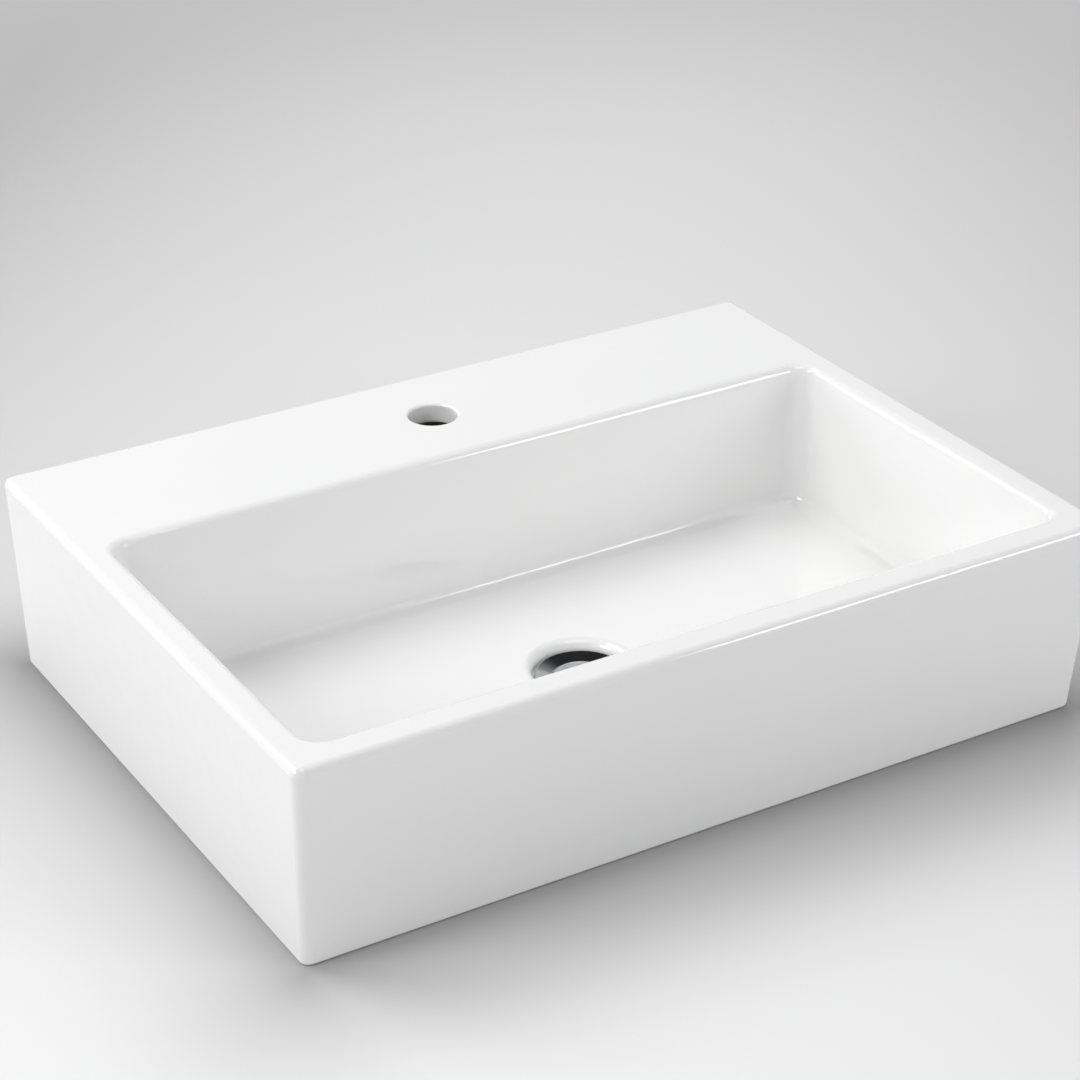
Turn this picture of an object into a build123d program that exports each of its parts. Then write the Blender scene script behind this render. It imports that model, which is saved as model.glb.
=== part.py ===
from build123d import *
from math import hypot, radians, sqrt, tan
import os

os.makedirs("parts", exist_ok=True)

# Countertop basin with a tap ledge and a push-button waste.
# Millimetres, +Z up. The basin stands on z = 0 and its front looks to -Y.
# The tap hole and the waste lie on x = 0.

# Outer block of the basin, measured over its top edges
basin_width = 600.0
basin_depth = 440.0
basin_height = 145.0
side_draft = 6.5
front_draft = 12.5
back_draft = 1.5
outer_corner_radius = 7.0
top_edge_radius = 5.0
foot_edge_radius = 3.0

# Bowl
side_rim = 21.5
front_rim = 24.5
ledge_depth = 128.5
bowl_draft_angle = 8.0
bowl_corner_radius = 15.0
rim_inner_radius = 6.0
floor_height = 39.3
floor_fall_angle = 0.6
floor_corner_radius = 10.0

# Hollow of the casting, open at the foot
skirt_wall = 10.0
bowl_wall = 9.5
ledge_thickness = 14.0
floor_thickness = 10.0
rim_solid_depth = 40.0
web_thickness = 10.0
web_spacing = 220.0
web_foot_height = 18.0
hollow_corner_radius = 5.0

# Tap hole
tap_hole_diameter = 35.0
tap_hole_from_back = 64.5
tap_hole_lip_radius = 2.0

# Waste recess and hole in the ceramic
waste_from_front = 174.0
recess_diameter = 66.0
recess_lip_radius = 7.0
recess_depth = 8.6
recess_slope_angle = 14.0
waste_hole_diameter = 45.0
boss_diameter = 88.0
boss_thickness = 10.2
boss_corner_radius = 5.0

# Waste body: dished flange, tail with a G 1 1/4 thread, bridge for the cartridge
flange_diameter = 63.0
flange_thickness = 2.0
flange_land = 1.0
flange_edge_radius = 0.6
thread_diameter = 41.9
tail_bore_diameter = 36.0
tail_foot_height = 1.5
tail_chamfer = 0.8
thread_relief_width = 1.2
thread_relief_depth = 0.8
plug_seat_diameter = 41.0
bridge_foot_height = 4.0
bridge_height = 4.0
bridge_arm_width = 4.0
bridge_arm_count = 3
hub_diameter = 13.0
hub_height = 5.0

# Seals, washer and nut that clamp the waste body to the basin
flange_seal_thickness = 1.2
flange_seal_inset = 0.5
tapered_washer_thickness = 3.5
tapered_washer_diameter = 64.0
tapered_washer_spigot = 2.0
spigot_clearance = 0.2
slip_washer_thickness = 1.2
slip_washer_diameter = 62.0
back_nut_height = 6.0
back_nut_flats = 55.0
thread_clearance = 0.1

# Push-button cartridge
stud_diameter = 8.0
stud_slot_width = 1.2
stud_slot_depth = 1.6
locknut_height = 3.0
locknut_flats = 13.0
barrel_diameter = 17.0
barrel_bore_diameter = 12.6
barrel_floor = 3.0
track_width = 2.4
track_notch = 3.0
track_pin_diameter = 2.0
track_pin_length = 4.1
track_pin_rise = 5.5
sleeve_wall = 2.2
sleeve_head = 2.3
sleeve_foot_gap = 1.0
sliding_clearance = 0.3
spring_wire_diameter = 1.0
spring_wire_sides = 8
spring_coil_diameter = 10.4
spring_turns = 6
spring_end_gap = 0.2

# Plug
plug_travel = 8.0
plug_diameter = 38.0
plug_edge_height = 1.2
plug_edge_radius = 0.4
plug_crown = 1.6
plug_spigot_diameter = 8.0
plug_seal_thickness = 1.9
plug_seal_lip = 0.9
seat_clearance = 0.3

overcut = 1.0


# Outer faces of the block, drawn in towards the foot
def side_face(height):
    return basin_width / 2 - side_draft * (basin_height - height) / basin_height


def front_face(height):
    return -basin_depth / 2 + front_draft * (basin_height - height) / basin_height


def back_face(height):
    return basin_depth / 2 - back_draft * (basin_height - height) / basin_height


# Inner faces of the bowl, which lean in towards its floor
def bowl_inset(height):
    return (basin_height - height) * tan(radians(bowl_draft_angle))


def bowl_side(height):
    return basin_width / 2 - side_rim - bowl_inset(height)


def bowl_front(height):
    return -basin_depth / 2 + front_rim + bowl_inset(height)


def bowl_back(height):
    return basin_depth / 2 - ledge_depth - bowl_inset(height)


# A level rounded rectangle between a front and a back face
def level_outline(height, half_width, front, back, corner_radius):
    with BuildSketch(Plane.XY.offset(height)) as outline:
        with Locations((0, (front + back) / 2)):
            RectangleRounded(2 * half_width, back - front, corner_radius)
    return outline.sketch


# A section of the outer block, or of the hollow inside its skirt
def block_outline(height, inset=0.0):
    return level_outline(
        height,
        side_face(height) - inset,
        front_face(height) + inset,
        back_face(height) - inset,
        hollow_corner_radius if inset else outer_corner_radius,
    )


# A section of the bowl's inside, or of its outside with a wall added
def bowl_outline(height, wall=0.0):
    return level_outline(
        height,
        bowl_side(height) + wall,
        bowl_front(height) - wall,
        bowl_back(height) + wall,
        bowl_corner_radius + wall,
    )


# A section of the hollow below the tap ledge
def ledge_outline(height):
    return level_outline(
        height,
        side_face(height) - skirt_wall,
        bowl_back(height) + bowl_wall,
        back_face(height) - skirt_wall,
        hollow_corner_radius,
    )


waste_y = -basin_depth / 2 + waste_from_front
tap_y = basin_depth / 2 - tap_hole_from_back
ledge_underside = basin_height - ledge_thickness
rim_underside = basin_height - rim_solid_depth
floor_underside = floor_height - floor_thickness
waste_axis = Axis((0, waste_y, 0), (0, 0, 1))
waste_plane = Plane((0, waste_y, 0), x_dir=(1, 0, 0), z_dir=(0, -1, 0))

recess_slope = tan(radians(recess_slope_angle))
recess_radius = recess_diameter / 2
recess_lip_edge = recess_radius + recess_lip_radius
recess_edge_height = floor_height - recess_depth
boss_underside = recess_edge_height - boss_thickness
washer_foot = boss_underside - tapered_washer_thickness
slip_foot = washer_foot - slip_washer_thickness
back_nut_foot = slip_foot - back_nut_height
waste_hole_radius = waste_hole_diameter / 2


# Height of the sloping ceramic seat, the seal on it and the flange, at a radius
def recess_seat(radius):
    return recess_edge_height - (recess_radius - radius) * recess_slope


def flange_under(radius):
    return recess_seat(radius) + flange_seal_thickness


def flange_dish(radius):
    return flange_under(radius) + flange_thickness


# Adds a ring of any section, given as radius and height points, about the waste axis
def revolve_section(*points, mode=Mode.ADD):
    with BuildSketch(waste_plane) as section:
        with BuildLine():
            Polyline(*points, close=True)
        make_face()
    revolve(section.sketch, axis=waste_axis, mode=mode)


# Adds a hexagon nut with chamfered corners, standing on a height
def hexagon_nut(flats, height, bore_radius, foot):
    corner_radius = flats / sqrt(3)
    drop = (corner_radius - flats / 2) * tan(radians(30))
    with BuildSketch(Plane.XY.offset(foot)) as hexagon:
        with Locations((0, waste_y)):
            RegularPolygon(flats / 2, 6, major_radius=False)
            Circle(bore_radius, mode=Mode.SUBTRACT)
    extrude(hexagon.sketch, amount=height)
    revolve_section(
        (0, foot),
        (flats / 2, foot),
        (corner_radius, foot + drop),
        (corner_radius, foot + height - drop),
        (flats / 2, foot + height),
        (0, foot + height),
        mode=Mode.INTERSECT,
    )


# Space inside the bowl: leaning walls, and a floor that falls to the waste
with BuildPart() as bowl_space:
    add(bowl_outline(basin_height + overcut))
    add(bowl_outline(floor_underside))
    loft(ruled=True)
    fall = tan(radians(floor_fall_angle))
    reach = hypot(basin_width, basin_depth)
    revolve_section(
        (0, floor_height - recess_lip_edge * fall),
        (reach, floor_height + (reach - recess_lip_edge) * fall),
        (reach, basin_height + 2 * overcut),
        (0, basin_height + 2 * overcut),
        mode=Mode.INTERSECT,
    )
    floor_rim = bowl_space.faces().sort_by(Axis.Z)[0].edges()
    fillet(floor_rim, floor_corner_radius)

# Outside of the bowl, seen from below, with the boss round the waste hole
with BuildPart() as bowl_outside:
    add(bowl_outline(basin_height, bowl_wall))
    add(bowl_outline(floor_underside, bowl_wall))
    loft(ruled=True)
    fillet(bowl_outside.faces().sort_by(Axis.Z)[0].edges(), floor_corner_radius)
    with BuildSketch(Plane.XY.offset(boss_underside)):
        with Locations((0, waste_y)):
            Circle(boss_diameter / 2)
    extrude(amount=floor_height - boss_underside)
    fillet(bowl_outside.faces().sort_by(Axis.Z)[0].edges(), boss_corner_radius)

# Hollow of the casting: inside the skirt, round the bowl and below the tap ledge
with BuildPart() as hollow:
    add(block_outline(-overcut, skirt_wall))
    add(block_outline(rim_underside, skirt_wall))
    loft(ruled=True)
    add(ledge_outline(rim_underside - overcut))
    add(ledge_outline(ledge_underside))
    loft(ruled=True)
    add(bowl_outside.part, mode=Mode.SUBTRACT)
    web_reach = basin_depth / 2 - bowl_back(floor_height)
    with Locations((0, basin_depth / 2 - web_reach / 2, web_foot_height)):
        with GridLocations(web_spacing, 0, 2, 1):
            Box(
                web_thickness,
                web_reach,
                basin_height,
                align=(Align.CENTER, Align.CENTER, Align.MIN),
                mode=Mode.SUBTRACT,
            )

# Basin, one glazed casting
with BuildPart() as basin:
    add(block_outline(0))
    add(block_outline(basin_height))
    loft(ruled=True)
    fillet(basin.faces().sort_by(Axis.Z)[-1].edges(), top_edge_radius)
    fillet(basin.faces().sort_by(Axis.Z)[0].edges(), foot_edge_radius)
    add(bowl_space.part, mode=Mode.SUBTRACT)
    top_face = basin.faces().sort_by(Axis.Z)[-1]
    fillet(top_face.inner_wires()[0].edges(), rim_inner_radius)
    add(hollow.part, mode=Mode.SUBTRACT)
    with Locations((0, tap_y, basin_height)):
        Hole(tap_hole_diameter / 2, depth=ledge_thickness + overcut)
    tap_lip = basin.edges().filter_by(GeomType.CIRCLE).filter_by(
        lambda e: abs(e.radius - tap_hole_diameter / 2) < 0.01 and e.center().Z > ledge_underside + 1
    )
    fillet(tap_lip, tap_hole_lip_radius)
    with BuildSketch(waste_plane):
        with BuildLine():
            Polyline(
                (0, boss_underside - overcut),
                (waste_hole_radius, boss_underside - overcut),
                (waste_hole_radius, recess_seat(waste_hole_radius)),
                (recess_radius, recess_edge_height),
                (recess_radius, floor_height - recess_lip_radius),
            )
            RadiusArc(
                (recess_radius, floor_height - recess_lip_radius),
                (recess_lip_edge, floor_height),
                recess_lip_radius,
            )
            Polyline(
                (recess_lip_edge, floor_height),
                (recess_lip_edge, floor_height + overcut),
                (0, floor_height + overcut),
                (0, boss_underside - overcut),
            )
        make_face()
    revolve(axis=waste_axis, mode=Mode.SUBTRACT)

basin.part.label = "basin"
export_step(basin.part, "parts/basin.step")

# Waste body, brass: the dished flange, the threaded tail and a bridge inside it
flange_radius = flange_diameter / 2
thread_radius = thread_diameter / 2
tail_bore_radius = tail_bore_diameter / 2
plug_seat_radius = plug_seat_diameter / 2
plug_seat_height = flange_dish(plug_seat_radius)
hub_top = bridge_foot_height + hub_height
stud_radius = stud_diameter / 2

relief_radius = thread_radius - thread_relief_depth

with BuildPart() as waste_body:
    revolve_section(
        (tail_bore_radius, tail_foot_height),
        (thread_radius - tail_chamfer, tail_foot_height),
        (thread_radius, tail_foot_height + tail_chamfer),
        (thread_radius, back_nut_foot - thread_relief_width),
        (relief_radius, back_nut_foot - thread_relief_width),
        (relief_radius, back_nut_foot),
        (thread_radius, back_nut_foot),
        (thread_radius, flange_under(thread_radius)),
        (flange_radius, flange_under(flange_radius)),
        (flange_radius, flange_dish(flange_radius - flange_land)),
        (flange_radius - flange_land, flange_dish(flange_radius - flange_land)),
        (plug_seat_radius, plug_seat_height),
        (tail_bore_radius, plug_seat_height - (plug_seat_radius - tail_bore_radius)),
    )
    fillet(waste_body.edges().group_by(Axis.Z)[-1], flange_edge_radius)
    with BuildSketch(Plane.XY.offset(bridge_foot_height)):
        with Locations((0, waste_y)):
            with PolarLocations(0, bridge_arm_count, start_angle=90):
                Rectangle(
                    (thread_radius + tail_bore_radius) / 2,
                    bridge_arm_width,
                    align=(Align.MIN, Align.CENTER),
                )
    extrude(amount=bridge_height)
    with BuildSketch(Plane.XY.offset(bridge_foot_height)):
        with Locations((0, waste_y)):
            Circle(hub_diameter / 2)
    extrude(amount=hub_height)
    with Locations((0, waste_y, hub_top)):
        Hole(stud_radius, depth=hub_height)

waste_body.part.label = "waste_body"
export_step(waste_body.part, "parts/waste_body.step")

# Flange seal, a rubber ring on the sloping seat of the recess
seal_inner = waste_hole_radius + flange_seal_inset
seal_outer = flange_radius - flange_seal_inset
with BuildPart() as flange_seal:
    revolve_section(
        (seal_inner, recess_seat(seal_inner)),
        (seal_outer, recess_seat(seal_outer)),
        (seal_outer, flange_under(seal_outer)),
        (seal_inner, flange_under(seal_inner)),
    )

flange_seal.part.label = "flange_seal"
export_step(flange_seal.part, "parts/flange_seal.step")

# Tapered rubber washer below the basin, with a spigot in the waste hole
washer_bore = thread_radius + thread_clearance
with BuildPart() as tapered_washer:
    revolve_section(
        (washer_bore, washer_foot),
        (tapered_washer_diameter / 2, washer_foot),
        (tapered_washer_diameter / 2, boss_underside),
        (waste_hole_radius - spigot_clearance, boss_underside),
        (washer_bore + spigot_clearance, boss_underside + tapered_washer_spigot),
        (washer_bore, boss_underside + tapered_washer_spigot),
    )

tapered_washer.part.label = "tapered_washer"
export_step(tapered_washer.part, "parts/tapered_washer.step")

# Slip washer, a plastic ring that lets the nut turn without dragging the rubber
with BuildPart() as slip_washer:
    revolve_section(
        (washer_bore, slip_foot),
        (slip_washer_diameter / 2, slip_foot),
        (slip_washer_diameter / 2, washer_foot),
        (washer_bore, washer_foot),
    )

slip_washer.part.label = "slip_washer"
export_step(slip_washer.part, "parts/slip_washer.step")

# Back nut on the tail
with BuildPart() as back_nut:
    hexagon_nut(back_nut_flats, back_nut_height, washer_bore, back_nut_foot)

back_nut.part.label = "back_nut"
export_step(back_nut.part, "parts/back_nut.step")

# Heights of the cartridge, from the bridge up and from the plug down
barrel_foot = hub_top + locknut_height
spring_foot = barrel_foot + barrel_floor
barrel_radius = barrel_diameter / 2
seal_reach = plug_diameter / 2
seal_corner = plug_seat_height - (plug_seat_radius - seal_reach) + seat_clearance * sqrt(2)
plug_underside = seal_corner + plug_seal_lip
head_underside = plug_underside - sleeve_head
barrel_top = head_underside - seat_clearance
sleeve_bore_radius = barrel_radius + sliding_clearance
sleeve_radius = sleeve_bore_radius + sleeve_wall
sleeve_foot = barrel_foot + sleeve_foot_gap
pin_height = barrel_foot + track_pin_rise

# Stud, a headless screw with a slot, from the bridge up into the barrel
with BuildPart() as cartridge_stud:
    with BuildSketch(Plane.XY.offset(bridge_foot_height)):
        with Locations((0, waste_y)):
            Circle(stud_radius)
    extrude(amount=spring_foot - bridge_foot_height)
    with Locations((0, waste_y, bridge_foot_height)):
        Box(stud_diameter, stud_slot_width, 2 * stud_slot_depth, mode=Mode.SUBTRACT)

cartridge_stud.part.label = "cartridge_stud"
export_step(cartridge_stud.part, "parts/cartridge_stud.step")

# Locknut that fixes the height of the cartridge
with BuildPart() as stud_locknut:
    hexagon_nut(locknut_flats, locknut_height, stud_radius, hub_top)

stud_locknut.part.label = "stud_locknut"
export_step(stud_locknut.part, "parts/stud_locknut.step")

# Barrel, fixed on the stud, with the track that the pin runs and latches in
with BuildPart() as cartridge_barrel:
    revolve_section(
        (stud_radius, barrel_foot),
        (barrel_radius, barrel_foot),
        (barrel_radius, barrel_top),
        (barrel_bore_diameter / 2, barrel_top),
        (barrel_bore_diameter / 2, spring_foot),
        (stud_radius, spring_foot),
    )
    with BuildSketch(Plane.XZ.offset(-waste_y)):
        with Locations((0, pin_height + plug_travel / 2)):
            SlotOverall(plug_travel + track_width, track_width, rotation=90)
        with Locations((0, pin_height)):
            Rectangle(track_notch, track_width, align=(Align.MIN, Align.CENTER))
    extrude(amount=-barrel_radius, mode=Mode.SUBTRACT)

cartridge_barrel.part.label = "cartridge_barrel"
export_step(cartridge_barrel.part, "parts/cartridge_barrel.step")

# Spring in the barrel, pushing the plug up, drawn closed: one wire with facets for its
# round section, in quarter turns
wire_radius = spring_wire_diameter / 2
coil_radius = spring_coil_diameter / 2
spring_base = spring_foot + wire_radius
spring_rise = head_underside - spring_end_gap - wire_radius - spring_base


def spring_point(turn):
    angle = 360 * turn
    height = spring_base + spring_rise * turn / spring_turns
    return Vector(coil_radius, 0, 0).rotate(Axis.Z, angle) + Vector(0, waste_y, height)


with BuildPart() as cartridge_spring:
    with BuildLine() as coil:
        for quarter in range(4 * spring_turns):
            ThreePointArc(
                spring_point(quarter / 4),
                spring_point((quarter + 0.5) / 4),
                spring_point((quarter + 1) / 4),
            )
    with BuildSketch(Plane(origin=coil.line @ 0, z_dir=coil.line % 0)):
        RegularPolygon(wire_radius, spring_wire_sides)
    sweep(path=coil.line)

least_gap = min(
    (spring_point(step / 16) - spring_point(step / 16 + 1 + shift / 64)).length
    for step in range(16 * (spring_turns - 1))
    for shift in range(-8, 9)
)
print("least gap between the spring's turns", round(least_gap - spring_wire_diameter, 2), "mm")

cartridge_spring.part.label = "cartridge_spring"
export_step(cartridge_spring.part, "parts/cartridge_spring.step")

# Sleeve that slides on the barrel and carries the plug
spigot_radius = plug_spigot_diameter / 2
with BuildPart() as plug_sleeve:
    revolve_section(
        (sleeve_bore_radius, sleeve_foot),
        (sleeve_radius, sleeve_foot),
        (sleeve_radius, plug_underside),
        (spigot_radius, plug_underside),
        (spigot_radius, head_underside),
        (sleeve_bore_radius, head_underside),
    )
    with BuildSketch(Plane.XZ.offset(-waste_y)):
        with Locations((0, pin_height)):
            Circle(track_pin_diameter / 2)
    extrude(amount=-sleeve_radius, mode=Mode.SUBTRACT)

plug_sleeve.part.label = "plug_sleeve"
export_step(plug_sleeve.part, "parts/plug_sleeve.step")

# Pin pressed through the sleeve into the barrel's track
with BuildPart() as track_pin:
    with BuildSketch(Plane.XZ.offset(-waste_y - sleeve_radius)):
        with Locations((0, pin_height)):
            Circle(track_pin_diameter / 2)
    extrude(amount=track_pin_length)

track_pin.part.label = "track_pin"
export_step(track_pin.part, "parts/track_pin.step")

# Plug, a crowned brass disc with a spigot screwed into the sleeve
plug_radius = plug_diameter / 2
plug_edge_top = plug_underside + plug_edge_height
with BuildPart() as plug_cap:
    with BuildSketch(waste_plane):
        with BuildLine():
            Polyline(
                (0, plug_edge_top + plug_crown),
                (0, head_underside),
                (spigot_radius, head_underside),
                (spigot_radius, plug_underside),
                (plug_radius, plug_underside),
                (plug_radius, plug_edge_top),
            )
            TangentArc(
                (0, plug_edge_top + plug_crown),
                (plug_radius, plug_edge_top),
                tangent=(1, 0),
            )
        make_face()
    revolve(axis=waste_axis)
    edge_circles = plug_cap.edges().filter_by(GeomType.CIRCLE)
    fillet(edge_circles.filter_by(lambda e: e.center().Z > plug_edge_top - 0.01), plug_edge_radius)

plug_cap.part.label = "plug_cap"
export_step(plug_cap.part, "parts/plug_cap.step")

# Plug seal, a rubber ring under the plug that closes on the seat of the flange
seal_foot = plug_underside - plug_seal_thickness
with BuildPart() as plug_seal:
    revolve_section(
        (sleeve_radius, seal_foot),
        (seal_reach - (plug_seal_thickness - plug_seal_lip), seal_foot),
        (seal_reach, seal_corner),
        (seal_reach, plug_underside),
        (sleeve_radius, plug_underside),
    )

plug_seal.part.label = "plug_seal"
export_step(plug_seal.part, "parts/plug_seal.step")
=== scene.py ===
from math import radians

import bpy
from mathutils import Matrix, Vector

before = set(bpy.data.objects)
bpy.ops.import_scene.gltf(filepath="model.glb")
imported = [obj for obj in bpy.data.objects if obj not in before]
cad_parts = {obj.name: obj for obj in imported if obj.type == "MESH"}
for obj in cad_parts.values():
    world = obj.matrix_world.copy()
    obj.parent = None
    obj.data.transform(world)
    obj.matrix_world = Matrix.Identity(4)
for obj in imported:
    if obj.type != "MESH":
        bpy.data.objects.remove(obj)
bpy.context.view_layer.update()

bpy.ops.object.select_all(action="DESELECT")


# Basin. One slip-cast block of vitreous china with a tap ledge and a leaning bowl.
# It is sprayed with white glaze all over except its foot, where the body is wiped bare,
# and inside the hollow below, where the spray only reaches thinly.
class Shade:
    """A value in a material that can be added, multiplied and compared."""

    def __init__(self, tree, socket):
        self.tree = tree
        self.socket = socket

    def node(self, kind, settings=None, inputs=None, output=0):
        made = self.tree.nodes.new(kind)
        for name, value in (settings or {}).items():
            if name == "stops":
                for stop, (position, colour) in zip(made.color_ramp.elements, value):
                    stop.position = position
                    stop.color = colour
            else:
                setattr(made, name, value)
        for key, value in (inputs or {}).items():
            if isinstance(value, Shade):
                self.tree.links.new(value.socket, made.inputs[key])
            else:
                made.inputs[key].default_value = value
        return Shade(self.tree, made.outputs[output])

    def calc(self, operation, *values):
        return self.node("ShaderNodeMath", {"operation": operation}, dict(enumerate(values)))

    def __add__(self, other):
        return self.calc("ADD", self, other)

    def __radd__(self, other):
        return self.calc("ADD", other, self)

    def __sub__(self, other):
        return self.calc("SUBTRACT", self, other)

    def __rsub__(self, other):
        return self.calc("SUBTRACT", other, self)

    def __mul__(self, other):
        return self.calc("MULTIPLY", self, other)

    def __rmul__(self, other):
        return self.calc("MULTIPLY", other, self)

    def __pow__(self, other):
        return self.calc("POWER", self, other)

    def __abs__(self):
        return self.calc("ABSOLUTE", self)

    def at_least(self, other):
        """The larger of this and another value."""
        return self.calc("MAXIMUM", self, other)

    def ray(self, kind):
        """1 where the ray that arrives is of this kind, and 0 elsewhere."""
        return self.node("ShaderNodeLightPath", output=f"Is {kind} Ray")

    def fade(self, start, end):
        """0 below start and 1 above end, smooth between them."""
        ends = {"Value": self, "From Min": start, "From Max": end}
        return self.node("ShaderNodeMapRange", {"interpolation_type": "SMOOTHSTEP"}, ends)

    def mix(self, low, high):
        """Colour low where this is 0, colour high where it is 1."""
        ends = {"Factor": self, 6: low, 7: high}
        return self.node("ShaderNodeMix", {"data_type": "RGBA"}, ends, output=2)

    def noise(self, scale, detail=2.0):
        """Cloudy noise, its features 1/scale millimetres apart, when this is a place."""
        return self.node(
            "ShaderNodeTexNoise", {}, {"Vector": self, "Scale": scale, "Detail": detail}
        )

    def feed(self, shader, socket):
        self.tree.links.new(self.socket, shader.inputs[socket])


def new_finish(name, **values):
    """A material with these values on its shader, and the place on the piece in mm."""
    material = bpy.data.materials.new(name)
    material.use_nodes = True
    tree = material.node_tree
    shader = tree.nodes["Principled BSDF"]
    for socket, value in values.items():
        shader.inputs[socket.replace("_", " ")].default_value = value
    coordinates = tree.nodes.new("ShaderNodeTexCoord")
    metres = Shade(tree, coordinates.outputs["Object"])
    place = metres.node(
        "ShaderNodeVectorMath", {"operation": "SCALE"}, {"Vector": metres, "Scale": 1000.0}
    )
    return material, shader, place


def axes_of(place):
    """The x, y and z of a place."""
    return [
        place.node("ShaderNodeSeparateXYZ", {}, {"Vector": place}, output=axis) for axis in range(3)
    ]


def paint(node, material):
    """Gives a CAD node its material."""
    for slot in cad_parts[node].material_slots:
        slot.material = material


china, china_shader, china_place = new_finish(
    "white_glaze", IOR=1.52, Coat_Weight=0.7, Coat_Roughness=0.02, Coat_IOR=1.55
)
china_x, china_y, china_z = axes_of(china_place)

# Where the glaze is thin or wiped off. The block's and the bowl's faces at the top, in mm,
# how far they lean in for each mm down, and how deep in the wall the mask turns over.
top_height, block_side, block_end = 145, 300, 220
bowl_side, bowl_front, bowl_back = 278.5, 195.5, 91.5
side_lean, front_lean, bowl_lean = 6.5 / 145, 12.5 / 145, 0.1405
in_skirt, in_bowl_wall = (6, 7), (4, 5)
down = top_height - china_z
from_side = block_side - side_lean * down - abs(china_x)
from_front = china_y + block_end - front_lean * down
from_back = block_end - china_y
inside_skirt = from_side.fade(*in_skirt) * from_front.fade(*in_skirt) * from_back.fade(*in_skirt)
below_floor = 1 - china_z.fade(29.7, 29.9)
past_bowl_side = (abs(china_x) - bowl_side + bowl_lean * down).fade(*in_bowl_wall)
past_bowl_front = (-bowl_front - china_y + bowl_lean * down).fade(*in_bowl_wall)
past_bowl_back = (china_y - bowl_back + bowl_lean * down).fade(*in_bowl_wall)
past_bowl = past_bowl_side.at_least(past_bowl_front).at_least(past_bowl_back)
below_ledge = 1 - china_z.fade(131.5, 133)
hollow = inside_skirt * (past_bowl * below_ledge).at_least(below_floor)
bare_foot = 1 - china_z.fade(0.5, 1.1)
thin_glaze = hollow * (0.55 + 0.45 * china_place.noise(0.02).fade(0.35, 0.65))
bare = thin_glaze.at_least(bare_foot)
cloud = china_place.noise(0.006, 3.0).fade(0.3, 0.7)
glaze_colour = cloud.mix((0.912, 0.915, 0.912, 1), (0.927, 0.927, 0.922, 1))
bare.mix(glaze_colour, (0.74, 0.71, 0.66, 1)).feed(china_shader, "Base Color")
(0.03 + 0.03 * china_place.noise(0.05).fade(0.3, 0.7) + 0.55 * bare).feed(china_shader, "Roughness")
ripple = china_place.noise(0.045, 1.0) + 0.25 * bare * china_place.noise(1.6, 4.0)
ripple.node(
    "ShaderNodeBump", {}, {"Strength": 0.25, "Distance": 0.0006, "Height": ripple}
).feed(china_shader, "Normal")
paint("basin", china)


# Waste body and plug. Turned brass, polished and chrome plated: a dished flange bedded
# in the recess of the bowl floor, and the crowned disc that closes it.
chrome, chrome_shader, chrome_place = new_finish("chrome_plate", Metallic=1.0)
film = chrome_place.noise(0.12, 3.0).fade(0.35, 0.75)
film.mix((0.62, 0.63, 0.64, 1), (0.55, 0.56, 0.58, 1)).feed(chrome_shader, "Base Color")
(0.06 + 0.09 * film).feed(chrome_shader, "Roughness")
paint("waste_body", chrome)
paint("plug_cap", chrome)

# Seals and the tapered washer. Black rubber, moulded, with a dull bloom.
rubber, rubber_shader, rubber_place = new_finish("black_rubber", Roughness=0.75)
bloom = rubber_place.noise(0.3, 3.0).fade(0.4, 0.8)
bloom.mix((0.02, 0.02, 0.02, 1), (0.06, 0.06, 0.06, 1)).feed(rubber_shader, "Base Color")
for node in ("flange_seal", "tapered_washer", "plug_seal"):
    paint(node, rubber)

# Slip washer, barrel and sleeve. Off-white acetal, moulded.
acetal, acetal_shader, acetal_place = new_finish("white_acetal", Roughness=0.42)
shading = acetal_place.noise(0.2, 2.0).fade(0.3, 0.7)
shading.mix((0.78, 0.78, 0.75, 1), (0.83, 0.83, 0.81, 1)).feed(acetal_shader, "Base Color")
for node in ("slip_washer", "cartridge_barrel", "plug_sleeve"):
    paint(node, acetal)

# Back nut, stud and locknut. Plain brass, as machined.
brass, brass_shader, brass_place = new_finish("plain_brass", Metallic=1.0)
tarnish = brass_place.noise(0.15, 4.0).fade(0.35, 0.75)
tarnish.mix((0.78, 0.58, 0.29, 1), (0.62, 0.45, 0.23, 1)).feed(brass_shader, "Base Color")
(0.24 + 0.2 * tarnish).feed(brass_shader, "Roughness")
for node in ("back_nut", "cartridge_stud", "stud_locknut"):
    paint(node, brass)

# Spring and track pin. Drawn stainless wire.
steel, steel_shader, steel_place = new_finish("stainless_wire", Metallic=1.0, Roughness=0.28)
streak = steel_place.noise(0.5, 2.0).fade(0.3, 0.7)
streak.mix((0.56, 0.56, 0.55, 1), (0.66, 0.66, 0.65, 1)).feed(steel_shader, "Base Color")
for node in ("cartridge_spring", "track_pin"):
    paint(node, steel)


# Floor and wall. Pale paper, running out to the tone of a plain wall between 1 and 1.9 m
# away. Camera and glossy rays see its tone vary: a formula fitted to the photo's floor sets
# the broad light and dark, and a painted darkening close to the basin deepens its shadow.
bpy.ops.mesh.primitive_plane_add(size=30.0, location=(0, 0, 0))
floor = bpy.context.object
floor.name = "studio_floor"
paper, paper_shader, paper_place = new_finish("pale_paper", Roughness=0.9, Specular_IOR_Level=0.1)
floor.data.materials.append(paper)
paper_grey = 0.8
darkest_tone = 0.6
foot_x, foot_y = 0.295, 0.213
shadow_depth, shadow_reach = 0.515, 0.06
wall_starts, wall_is_full = 1.0, 1.9
wall_tone = (0.55, 0.55, 0.555, 1)
paper_x, paper_y = (0.001 * axis for axis in axes_of(paper_place)[:2])
seen = paper_place.ray("Camera") + paper_place.ray("Glossy")
beside = (abs(paper_x) - foot_x).at_least(0.0)
before = (abs(paper_y) - foot_y).at_least(0.0)
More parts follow.
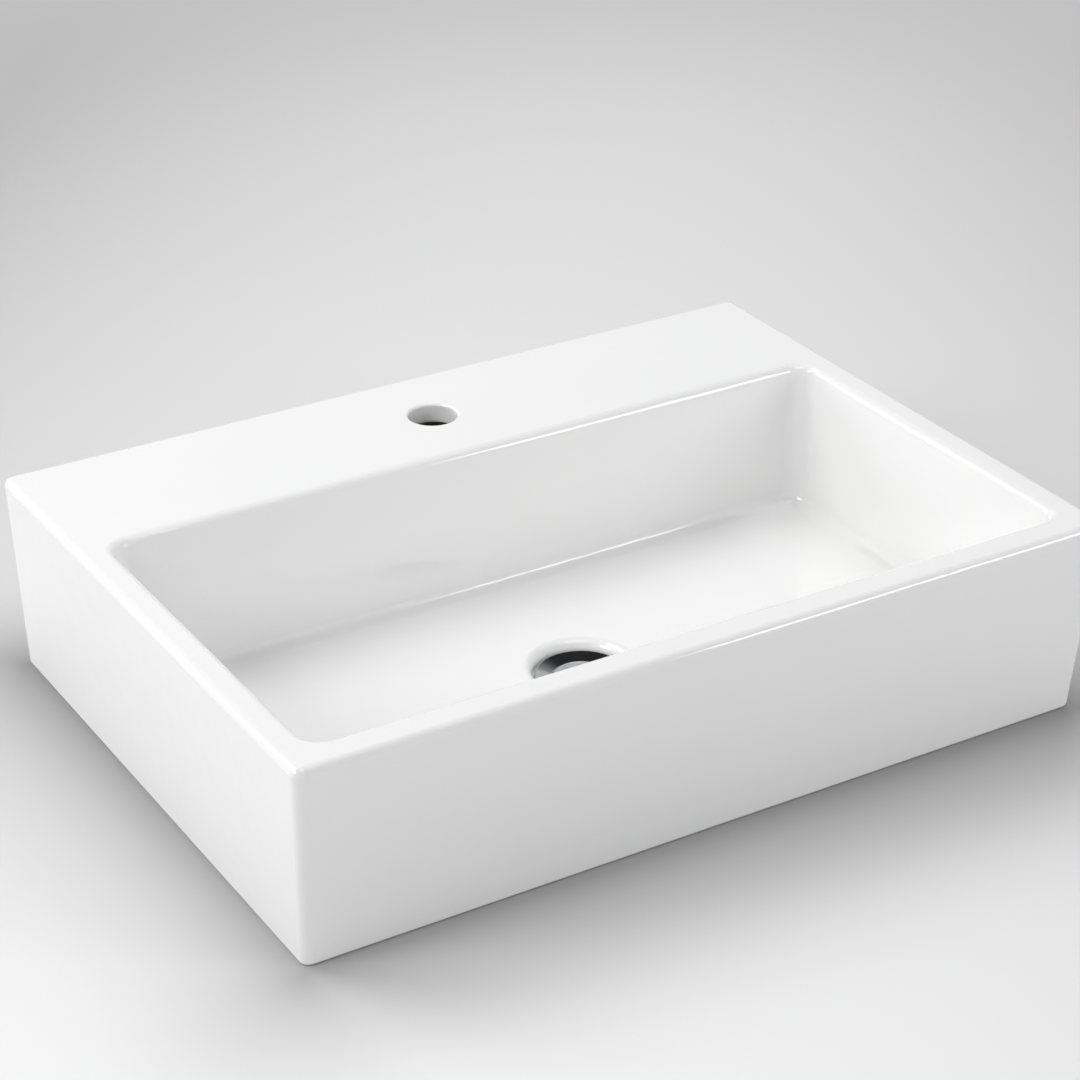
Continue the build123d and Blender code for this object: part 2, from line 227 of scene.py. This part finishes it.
clear_of = (beside * beside + before * before) ** 0.5
# Painted light and shade: the floor's tone brightens and darkens broadly with place, as studio
# light falls off.
tone = 1.011 - 0.052 * paper_x - 0.212 * paper_y + 0.634 * paper_x * paper_y
tone = tone - 0.374 * paper_x * paper_x - 0.133 * paper_y * paper_y
tone = tone.at_least(darkest_tone)
# Painted shadow: the floor's tone darkens towards the basin's foot.
fall_off = clear_of * (-1 / shadow_reach)
tone = tone - shadow_depth * fall_off.calc("EXPONENT", fall_off)
(paper_grey + paper_grey * seen * (tone - 1)).feed(paper_shader, "Base Color")
far_out = (paper_x * paper_x + paper_y * paper_y).fade(wall_starts**2, wall_is_full**2) * seen
plain_wall = paper_place.node("ShaderNodeEmission", {}, {"Color": wall_tone, "Strength": 1.0})
surface = Shade(paper_place.tree, paper_shader.outputs["BSDF"])
sweep = surface.node("ShaderNodeMixShader", {}, {0: far_out, 1: surface, 2: plain_wall})
sweep.tree.links.new(sweep.socket, paper.node_tree.nodes["Material Output"].inputs["Surface"])

# World. The wall's tone, darker overhead. Diffuse rays get an even part of it as fill.
world_fill = 0.6
dark_overhead = (0.03, 0.03, 0.03, 1)
world = bpy.data.worlds.new("studio")
world.use_nodes = True
bpy.context.scene.world = world
backdrop = world.node_tree.nodes["Background"]
sky = Shade(world.node_tree, world.node_tree.nodes.new("ShaderNodeTexCoord").outputs["Generated"])
height = sky.node("ShaderNodeSeparateXYZ", {}, {"Vector": sky}, output=2)
spread = sky.ray("Diffuse")
gloom = height.fade(0.4, 0.75) * (1 - spread)
gloom.mix(wall_tone, dark_overhead).feed(backdrop, "Color")
shown = sky.ray("Camera") + sky.ray("Glossy") + sky.ray("Transmission")
(shown + world_fill * spread).feed(backdrop, "Strength")

# Softboxes, each turned to the basin: its name, where it stands going round from the
# front, its height in degrees, its width and height in metres, its watts, and whether it
# shows in polished surfaces or is flagged off them.
lamp_distance = 2.6
aim = Vector((0, 0, 0.1))
for name, azimuth, elevation, width, tall, watts, shows in (
    ("left", 270, 33, 1.0, 1.0, 19.5, True),
    ("back_left", 225, 50, 1.3, 1.3, 18.5, True),
    ("low_back_left", 212, 15, 1.0, 0.9, 13.5, True),
    ("back_right", 135, 50, 1.3, 1.3, 15.0, False),
    ("front_right", 38, 17, 0.9, 0.9, 12.0, True),
    ("over_front", 0, 72, 1.3, 1.3, 10.0, True),
):
    bpy.ops.object.light_add(type="AREA", rotation=(radians(90 - elevation), 0, radians(azimuth)))
    softbox = bpy.context.object
    softbox.name = "softbox_" + name
    softbox.data.shape = "RECTANGLE"
    softbox.data.size = width
    softbox.data.size_y = tall
    softbox.data.energy = watts
    softbox.location = aim + lamp_distance * softbox.rotation_euler.to_matrix().col[2]
    softbox.visible_glossy = shows

# Camera. Fitted to the edges traced in the photo.
bpy.ops.object.camera_add(
    location=(-0.90009, -1.47943, 1.02235),
    rotation=(radians(62.32503), radians(-0.05483), radians(-31.14537)),
)
camera = bpy.context.object
camera.data.lens = 96.76
camera.data.sensor_width = 36.0
camera.data.clip_end = 100.0
bpy.context.scene.camera = camera
bpy.context.scene.view_settings.view_transform = "Standard"
